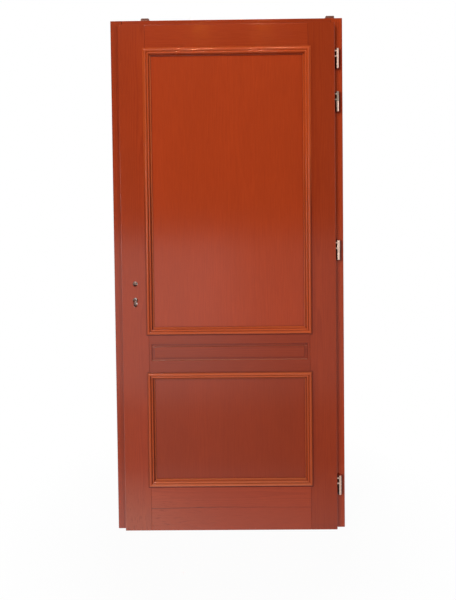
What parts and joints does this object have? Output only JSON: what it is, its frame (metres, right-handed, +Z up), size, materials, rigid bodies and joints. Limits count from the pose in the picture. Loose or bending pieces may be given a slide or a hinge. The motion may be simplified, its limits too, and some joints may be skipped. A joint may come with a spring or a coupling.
{
  "type": "panelled wooden entrance door in its frame",
  "caption": "Panelled wooden entrance door leaf with applied mouldings, hung on two-part pin hinges in its own narrow rebated frame, ready for a handle and a profile cylinder.",
  "frame": {"origin": "on the wall face of the hinge jamb, at floor level, at the middle of the frame's depth", "axes": "+X from the lock side to the hinge side, out of the hinge jamb's wall face; +Y from the front (hinge knuckle side) to the back; +Z up"},
  "size_m": [0.985, 0.0998, 2.202],
  "materials": {
    "frame_wood": "reddish brown stain under satin varnish",
    "stile_wood": "reddish brown stain under satin varnish",
    "rail_wood": "reddish brown stain under satin varnish",
    "panel_wood": "reddish brown stain under satin varnish",
    "moulding_wood": "reddish brown stain under glossy varnish",
    "lug_brown": "dull brown",
    "hinge_metal": "bright nickel",
    "lock_metal": "zinc plated",
    "case_metal": "dull zinc",
    "follower_metal": "bright"
  },
  "bodies": {
    "frame": {"hinge_jamb": "frame_wood", "lock_jamb": "frame_wood", "frame_head": "frame_wood", "lock_side_lug": "lug_brown", "hinge_side_lug": "lug_brown", "strike_plate": "lock_metal", "bottom_hinge_jamb_half": "hinge_metal", "middle_hinge_jamb_half": "hinge_metal", "upper_hinge_jamb_half": "hinge_metal", "top_hinge_jamb_half": "hinge_metal"},
    "leaf": {"hinge_stile": "stile_wood", "lock_stile": "stile_wood", "top_rail": "rail_wood", "middle_rail": "rail_wood", "bottom_rail": "rail_wood", "upper_panel": "panel_wood", "lower_panel": "panel_wood", "lower_front_top_moulding": "moulding_wood", "lower_front_bottom_moulding": "moulding_wood", "lower_front_lock_side_moulding": "moulding_wood", "lower_front_hinge_side_moulding": "moulding_wood", "lower_back_top_moulding": "moulding_wood", "lower_back_bottom_moulding": "moulding_wood", "lower_back_lock_side_moulding": "moulding_wood", "lower_back_hinge_side_moulding": "moulding_wood", "upper_front_top_moulding": "moulding_wood", "upper_front_bottom_moulding": "moulding_wood", "upper_front_lock_side_moulding": "moulding_wood", "upper_front_hinge_side_moulding": "moulding_wood", "upper_back_top_moulding": "moulding_wood", "upper_back_bottom_moulding": "moulding_wood", "upper_back_lock_side_moulding": "moulding_wood", "upper_back_hinge_side_moulding": "moulding_wood", "bottom_hinge_leaf_half": "hinge_metal", "middle_hinge_leaf_half": "hinge_metal", "upper_hinge_leaf_half": "hinge_metal", "top_hinge_leaf_half": "hinge_metal", "lock_case": "case_metal", "faceplate": "lock_metal", "latch_bolt": "lock_metal", "dead_bolt": "lock_metal"},
    "follower": {"follower": "follower_metal"}
  },
  "joints": [
    {"name": "leaf_swing", "type": "hinge", "parent": "frame", "child": "leaf", "pos_m": [-0.024, -0.044, 1.2], "axis": [0, 0, 1], "range_deg": [0, 140]},
    {"name": "follower_turn", "type": "hinge", "parent": "leaf", "child": "follower", "pos_m": [-0.8915, -0.025, 1.071], "axis": [0, 1, 0], "range_deg": [0, 40], "stiffness_Nm_per_rad": 0.5}
  ]
}
